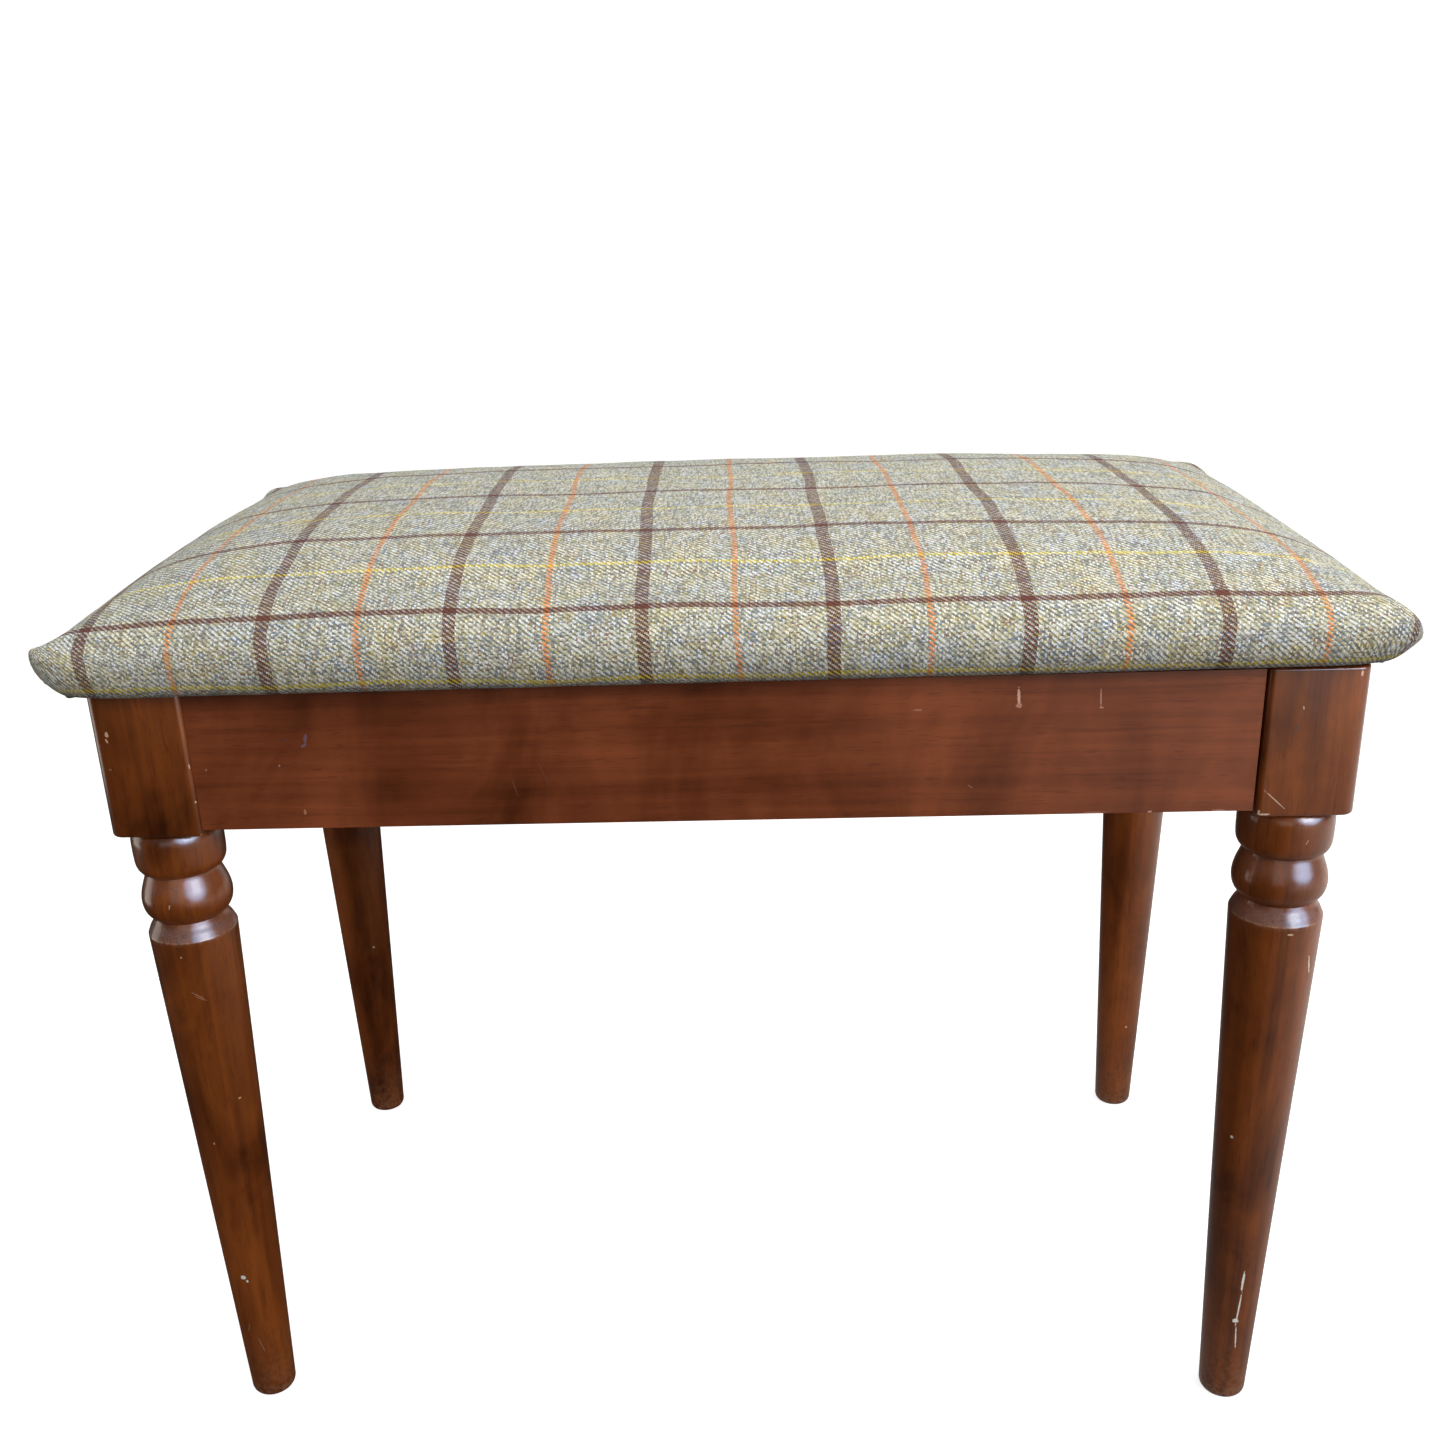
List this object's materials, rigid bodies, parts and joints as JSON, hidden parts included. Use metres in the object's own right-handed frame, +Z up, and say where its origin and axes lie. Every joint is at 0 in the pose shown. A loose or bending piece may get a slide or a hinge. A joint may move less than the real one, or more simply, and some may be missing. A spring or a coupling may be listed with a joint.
{
  "type": "piano bench",
  "caption": "Wooden piano bench with turned tapered legs and a hinged, tweed-upholstered lid over a shallow music compartment.",
  "frame": {"origin": "on the floor under the middle of the bench", "axes": "+X to the sitter's right along the keyboard, -Y the front, +Z up"},
  "size_m": [0.644, 0.376, 0.498],
  "materials": {
    "stained_leg": "mahogany-stained hardwood, satin lacquer, worn at the feet",
    "stained_apron": "mahogany-stained hardwood, satin lacquer",
    "floor_panel": "thin plywood, unfinished",
    "plywood": "plywood, unfinished",
    "tweed": "wool tweed in a grey-green twill with an overcheck",
    "foam": "upholstery foam",
    "cambric": "black dust cloth",
    "felt": "felt",
    "zinc_steel": "zinc-plated steel, dull",
    "stay_steel": "plated steel strip",
    "hinge_brass": "brass-plated, slightly tarnished"
  },
  "bodies": {
    "bench_box": {"leg_rear_right": "stained_leg", "leg_rear_left": "stained_leg", "leg_front_left": "stained_leg", "leg_front_right": "stained_leg", "front_apron": "stained_apron", "rear_apron": "stained_apron", "left_apron": "stained_apron", "right_apron": "stained_apron", "compartment_floor": "floor_panel", "corner_brace_rear_right": "zinc_steel", "corner_brace_rear_left": "zinc_steel", "corner_brace_front_left": "zinc_steel", "corner_brace_front_right": "zinc_steel", "hanger_bolt_rear_right": "zinc_steel", "hanger_bolt_rear_left": "zinc_steel", "hanger_bolt_front_left": "zinc_steel", "hanger_bolt_front_right": "zinc_steel", "brace_washer_rear_right": "zinc_steel", "brace_washer_rear_left": "zinc_steel", "brace_washer_front_left": "zinc_steel", "brace_washer_front_right": "zinc_steel", "wing_nut_rear_right": "zinc_steel", "wing_nut_rear_left": "zinc_steel", "wing_nut_front_left": "zinc_steel", "wing_nut_front_right": "zinc_steel", "hinge_box_leaf_left": "hinge_brass", "hinge_pin_left": "hinge_brass", "hinge_box_leaf_right": "hinge_brass", "hinge_pin_right": "hinge_brass", "hinge_box_screw_1": "hinge_brass", "hinge_box_screw_2": "hinge_brass", "hinge_box_screw_3": "hinge_brass", "hinge_box_screw_4": "hinge_brass", "stay_box_plate": "stay_steel", "stay_box_rivet": "stay_steel", "stay_box_screw_1": "stay_steel", "stay_box_screw_2": "stay_steel", "felt_bumper_rear_right": "felt", "felt_bumper_rear_left": "felt", "felt_bumper_front_left": "felt", "felt_bumper_front_right": "felt"},
    "lid": {"lid_board": "plywood", "foam_pad": "foam", "tweed_cover": "tweed", "dust_cover": "cambric", "hinge_lid_leaf_left": "hinge_brass", "hinge_lid_leaf_right": "hinge_brass", "stay_lid_plate": "stay_steel", "stay_lid_rivet": "stay_steel", "stay_lid_screw_1": "stay_steel", "stay_lid_screw_2": "stay_steel", "hinge_lid_screw_1": "hinge_brass", "hinge_lid_screw_2": "hinge_brass", "hinge_lid_screw_3": "hinge_brass", "hinge_lid_screw_4": "hinge_brass"},
    "stay_lower": {"stay_lower_arm": "stay_steel", "stay_elbow_rivet_lower": "stay_steel"},
    "stay_upper": {"stay_upper_arm": "stay_steel", "stay_elbow_rivet_upper": "stay_steel"}
  },
  "joints": [
    {"name": "lid_hinge", "type": "hinge", "parent": "bench_box", "child": "lid", "pos_m": [0, 0.1731, 0.439], "axis": [-1, 0, 0], "range_deg": [0, 85]},
    {"name": "stay_lower_pivot", "type": "hinge", "parent": "bench_box", "child": "stay_lower", "pos_m": [0.2788, 0.08, 0.401], "axis": [-1, 0, 0], "range_deg": [0, 98.7]},
    {"name": "stay_upper_pivot", "type": "hinge", "parent": "lid", "child": "stay_upper", "pos_m": [0.2764, 0.0905, 0.4345], "axis": [1, 0, 0], "range_deg": [0, 98.1]}
  ],
  "couplings": [
    {"joint": "stay_lower_pivot", "follows": "lid_hinge", "ratio": 1.16},
    {"joint": "stay_upper_pivot", "follows": "lid_hinge", "ratio": 1.1523}
  ]
}
